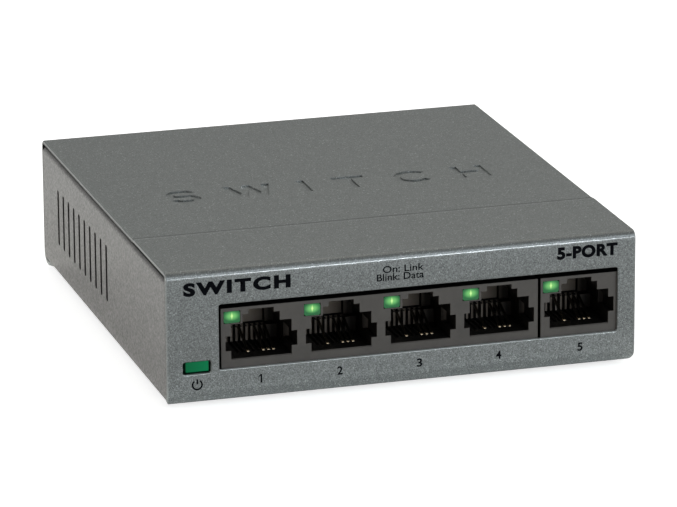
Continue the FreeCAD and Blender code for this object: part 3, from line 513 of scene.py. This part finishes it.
def printed_ink(name):
    shader = Shader(name)
    shader.set(
        Base_Color=shader.ramp(shader.noise(0.4 * MM),
                               (0.3, (0.001, 0.0015, 0.003)), (0.7, (0.003, 0.0035, 0.006))),
        Roughness=0.7,
        Specular_IOR_Level=0.04,
        Normal=shader.bump(shader.noise(0.2 * MM), 0.01 * MM, 0.4),
    )
    return shader.material


MATERIALS = {
    "cover_paint": powder_coat(
        "cover_paint",
        (0.190, 0.200, 0.195),
        inside_cover,
        edge_highlight=0.32,
        flake_glint=0.70,
        grain_size=0.20 * MM,
        speck=0.48,
        cloud=0.03,
        painted_floor_light=1.0,
    ),
    "tray_paint": powder_coat(
        "tray_paint",
        (0.202, 0.195, 0.188),
        inside_tray,
        edge_highlight=0.0,
        flake_glint=0.35,
        grain_size=0.45 * MM,
        speck=0.46,
        cloud=0.08,
        painted_floor_light=0.6,
    ),
    "screw_steel": plated_metal("screw_steel", (0.62, 0.62, 0.63), 0.28),
    "foot_rubber": rubber("foot_rubber"),
    "label_film": label_film("label_film"),
    "standoff_steel": plated_metal("standoff_steel", (0.55, 0.55, 0.56), 0.35),
    "board_green": circuit_green("board_green"),
    "jack_plastic": jack_plastic("jack_plastic", (0.094, 0.082, 0.071)),
    "contact_metal": contact_metal("contact_metal"),
    "tinned_metal": plated_metal("tinned_metal", (0.75, 0.75, 0.76), 0.3),
    "port_light_green": port_lamp("port_light_green"),
    "pipe_green": light_pipe("pipe_green"),
    "led_white": moulded_plastic("led_white", (0.75, 0.75, 0.70), 0.4),
    "dc_plastic": moulded_plastic("dc_plastic", (0.014, 0.014, 0.014), 0.42),
    "chip_black": moulded_plastic("chip_black", (0.020, 0.020, 0.021), 0.6),
    "pad_grey": moulded_plastic("pad_grey", (0.24, 0.26, 0.30), 0.8),
    "sink_black": plated_metal("sink_black", (0.035, 0.035, 0.038), 0.5),
    "can_metal": plated_metal("can_metal", (0.78, 0.78, 0.79), 0.3),
    "ferrite_grey": moulded_plastic("ferrite_grey", (0.055, 0.055, 0.060), 0.7),
    "ceramic_tan": moulded_plastic("ceramic_tan", (0.42, 0.30, 0.18), 0.5),
}
INK = printed_ink("printed_ink")


# ---------------------------------------------------------------- finishing the CAD parts

WELD_DISTANCE = 0.001 * MM
SHARP_ANGLE = math.radians(28)
CREASE_REACH = 1.2 * MM


def smooth_by_angle():
    """Modifier group that welds a CAD mesh and shades it smooth except at its real edges.

    The shallow crease across the top also stays sharp."""
    group = bpy.data.node_groups.new("smooth_by_angle", "GeometryNodeTree")
    group.interface.new_socket("Geometry", in_out="INPUT", socket_type="NodeSocketGeometry")
    group.interface.new_socket("Geometry", in_out="OUTPUT", socket_type="NodeSocketGeometry")
    add, link = group.nodes.new, group.links.new

    def compute(operation, *values):
        node = add("ShaderNodeMath")
        node.operation = operation
        for value, socket in zip(values, node.inputs):
            if isinstance(value, bpy.types.NodeSocket):
                link(value, socket)
            else:
                socket.default_value = value
        return node.outputs[0]

    source, result = add("NodeGroupInput"), add("NodeGroupOutput")
    merge = add("GeometryNodeMergeByDistance")
    merge.inputs["Distance"].default_value = WELD_DISTANCE
    faces, edges = add("GeometryNodeSetShadeSmooth"), add("GeometryNodeSetShadeSmooth")
    edges.domain = "EDGE"
    angle = add("GeometryNodeInputMeshEdgeAngle").outputs["Unsigned Angle"]
    place, split = add("GeometryNodeInputPosition"), add("ShaderNodeSeparateXYZ")
    link(place.outputs[0], split.inputs[0])
    near = compute("COMPARE", split.outputs["Y"], CREASE_Y, CREASE_REACH)
    high = compute("GREATER_THAN", split.outputs["Z"], COVER_HIGH.z - 0.3 * MM)
    crease = compute("MULTIPLY", near, high)
    smooth = compute("GREATER_THAN", compute("LESS_THAN", angle, SHARP_ANGLE), crease)
    link(source.outputs[0], merge.inputs["Geometry"])
    link(merge.outputs[0], faces.inputs["Geometry"])
    link(faces.outputs[0], edges.inputs["Geometry"])
    link(smooth, edges.inputs["Shade Smooth"])
    link(edges.outputs[0], result.inputs[0])
    return group


SMOOTH = smooth_by_angle()
SOFT_EDGES = {
    "top_cover": 0.1,
    "port_block_housing": 0.07,
    "port_5_housing": 0.07,
    "dc_jack_housing": 0.1,
    "heat_sink": 0.1,
    "lan_transformers": 0.08,
    "power_led_chip": 0.08,
}


def finish_node(name, slot):
    node = NODES[name]
    material = MATERIALS[slot]
    if node.material_slots:
        for place in node.material_slots:
            place.material = material
    else:
        node.data.materials.append(material)
    weld = node.modifiers.new("weld_and_smooth", "NODES")
    weld.node_group = SMOOTH
    if name in SOFT_EDGES:
        bevel = node.modifiers.new("soft_edges", "BEVEL")
        bevel.width = SOFT_EDGES[name] * MM
        bevel.segments = 2
        bevel.limit_method = "ANGLE"
        bevel.angle_limit = math.radians(50)
        bevel.harden_normals = True


for entry in frame["record"]["subparts"]:
    finish_node(entry["node"], entry["material_slot"])


# ---------------------------------------------------------------- printed markings

def as_mesh(piece):
    """Turns a text or curve object into a mesh object named after it, with _ink added."""
    mesh = bpy.data.meshes.new_from_object(piece.evaluated_get(bpy.context.evaluated_depsgraph_get()))
    solid = bpy.data.objects.new(piece.name + "_ink", mesh)
    bpy.context.scene.collection.objects.link(solid)
    solid.matrix_world = piece.matrix_world
    bpy.data.objects.remove(piece)
    return solid


FRONT_FACING = Matrix.Rotation(math.radians(90), 4, "X")


def place_on_front(piece, x, z):
    """Stands a flat piece against the front panel, its own origin at x, z in millimetres."""
    at = Vector((x * MM, PANEL_Y - INK_THICKNESS, DATUM_Z + z * MM))
    piece.matrix_world = Matrix.Translation(at) @ FRONT_FACING


def print_piece(piece):
    piece.data.materials.clear()
    piece.data.materials.append(INK)
    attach(piece, "case")


def flat_text(name, words, weight, spacing):
    data = bpy.data.curves.new(name, "FONT")
    data.body = words
    data.size = 1.0
    data.offset = weight
    data.space_character = spacing
    data.resolution_u = 5
    text = bpy.data.objects.new(name, data)
    bpy.context.scene.collection.objects.link(text)
    bpy.context.view_layer.update()
    return as_mesh(text)


def printed_words(name, words, left, right, bottom, top, weight, spacing=1.0):
    """Words fitted to a box on the front panel, in millimetres."""
    piece = flat_text(name, words, weight, spacing)
    xs = [v.co.x for v in piece.data.vertices]
    ys = [v.co.y for v in piece.data.vertices]
    wide = (right - left) * MM / (max(xs) - min(xs))
    high = (top - bottom) * MM / (max(ys) - min(ys))
    for vertex in piece.data.vertices:
        vertex.co.x = (vertex.co.x - min(xs)) * wide
        vertex.co.y = (vertex.co.y - min(ys)) * high
    place_on_front(piece, left, bottom)
    print_piece(piece)


def flat_mesh(name, points, faces):
    mesh = bpy.data.meshes.new(name)
    mesh.from_pydata([(x * MM, y * MM, 0.0) for x, y in points], [], faces)
    piece = bpy.data.objects.new(name, mesh)
    bpy.context.scene.collection.objects.link(piece)
    return piece


def power_symbol():
    """Open ring with an upright bar in its gap."""
    half = SYMBOL_LINE / 2
    start, sweep = math.pi / 2 + SYMBOL_GAP, 2 * math.pi - 2 * SYMBOL_GAP
    points, faces = [], []
    for i in range(SYMBOL_STEPS + 1):
        angle = start + sweep * i / SYMBOL_STEPS
        for radius in (SYMBOL_RADIUS - half, SYMBOL_RADIUS + half):
            points.append((radius * math.cos(angle), radius * math.sin(angle)))
    for i in range(0, 2 * SYMBOL_STEPS, 2):
        faces.append((i, i + 1, i + 3, i + 2))
    base = len(points)
    low, high = SYMBOL_BAR
    points += [(-half, low), (half, low), (half, high), (-half, high)]
    faces.append((base, base + 1, base + 2, base + 3))
    piece = flat_mesh("power_symbol", points, faces)
    place_on_front(piece, SYMBOL_X, SYMBOL_Z)
    print_piece(piece)


def digit_one(name, x, bottom, height):
    """Upright stem with a slanting flag, which the built-in typeface leaves out."""
    stem = [(-0.08, 0), (0.23, 0), (0.23, height), (-0.08, height)]
    flag = [(-0.08, height), (-0.45, height - 0.35), (-0.33, height - 0.55), (-0.08, height - 0.33)]
    piece = flat_mesh(name, stem + flag, [(0, 1, 2, 3), (4, 5, 6, 7)])
    place_on_front(piece, x, bottom)
    print_piece(piece)


def markings():
    for line in WORDS:
        printed_words(*line)
    bottom, top = DIGIT_MIDDLE_Z - DIGIT_HEIGHT / 2, DIGIT_MIDDLE_Z + DIGIT_HEIGHT / 2
    digit_one("port_number_1", DIGIT_X[0], bottom, DIGIT_HEIGHT)
    for number, x in enumerate(DIGIT_X[1:], start=2):
        left, right = x - DIGIT_HALF_WIDTH, x + DIGIT_HALF_WIDTH
        printed_words(f"port_number_{number}", str(number), left, right, bottom, top, DIGIT_WEIGHT)
    power_symbol()


markings()


# ---------------------------------------------------------------- studio

def soft_light(name, azimuth, elevation, distance, width, height, power, colour):
    """Soft box aimed at the switch; azimuth 0 is in front of the ports, 90 on the right."""
    data = bpy.data.lights.new(name, "AREA")
    data.shape = "RECTANGLE"
    data.size = width
    data.size_y = height
    data.energy = power
    data.color = colour
    light = bpy.data.objects.new(name, data)
    bpy.context.scene.collection.objects.link(light)
    around, up = math.radians(azimuth), math.radians(elevation)
    away = Vector((math.sin(around) * math.cos(up), -math.cos(around) * math.cos(up), math.sin(up)))
    light.location = Vector((0, 0, LIGHT_AIM_Z)) + away * distance
    light.rotation_euler = away.to_track_quat("Z", "Y").to_euler()


def white_to_camera(tree, surface, glow):
    """Adds a glow that only the camera sees, so that the surroundings stay near white."""
    seen = tree.nodes.new("ShaderNodeLightPath")
    lift = tree.nodes.new("ShaderNodeMath")
    lift.operation = "MULTIPLY"
    lift.inputs[1].default_value = glow
    tree.links.new(seen.outputs["Is Camera Ray"], lift.inputs[0])
    emit = tree.nodes.new("ShaderNodeEmission")
    tree.links.new(lift.outputs[0], emit.inputs["Strength"])
    both = tree.nodes.new("ShaderNodeAddShader")
    tree.links.new(surface, both.inputs[0])
    tree.links.new(emit.outputs[0], both.inputs[1])
    return both.outputs[0]


def surroundings():
    world = bpy.data.worlds.new("studio")
    bpy.context.scene.world = world
    world.use_nodes = True
    tree = world.node_tree
    background = tree.nodes["Background"]
    background.inputs["Color"].default_value = (0.97, 0.99, 1.0, 1.0)
    background.inputs["Strength"].default_value = WORLD_LIGHT
    outside = white_to_camera(tree, background.outputs[0], WORLD_GLOW)
    tree.links.new(outside, tree.nodes["World Output"].inputs["Surface"])

    mesh = bpy.data.meshes.new("floor")
    half = FLOOR_HALF
    corners = [(-half, -half, 0), (half, -half, 0), (half, half, 0), (-half, half, 0)]
    mesh.from_pydata(corners, [], [(0, 1, 2, 3)])
    floor = bpy.data.objects.new("floor", mesh)
    bpy.context.scene.collection.objects.link(floor)
    shader = Shader("floor_white")
    shader.set(Base_Color=(0.80, 0.80, 0.79, 1.0), Roughness=0.9)
    shown = white_to_camera(shader.tree, shader.surface.outputs[0], FLOOR_GLOW)
    shader.tree.links.new(shown, shader.tree.nodes["Material Output"].inputs["Surface"])
    floor.data.materials.append(shader.material)


def lights():
    for line in LIGHTS:
        soft_light(*line)
    bpy.data.objects["bend_glint"].visible_diffuse = False


def camera():
    data = bpy.data.cameras.new("camera")
    data.lens = VIEW_LENS
    data.sensor_fit = "HORIZONTAL"
    data.sensor_width = SENSOR_WIDTH
    data.clip_end = 50.0
    viewer = bpy.data.objects.new("camera", data)
    bpy.context.scene.collection.objects.link(viewer)
    a, e, r = VIEW_AZIMUTH, VIEW_ELEVATION, VIEW_ROLL
    forward = Vector((-math.sin(a) * math.cos(e), math.cos(a) * math.cos(e), -math.sin(e)))
    right = forward.cross(Vector((0, 0, 1))).normalized()
    up = right.cross(forward)
    rolled_right = math.cos(r) * right + math.sin(r) * up
    rolled_up = math.cos(r) * up - math.sin(r) * right
    turn = Matrix((rolled_right, rolled_up, -forward)).transposed()
    away = rolled_right * VIEW_OFFSET.x + rolled_up * VIEW_OFFSET.y + forward * VIEW_OFFSET.z
    viewer.matrix_world = Matrix.Translation(Vector((0, 0, DATUM_Z)) - away) @ turn.to_4x4()
    bpy.context.scene.camera = viewer


surroundings()
lights()
camera()
bpy.context.scene.view_settings.view_transform = "Standard"
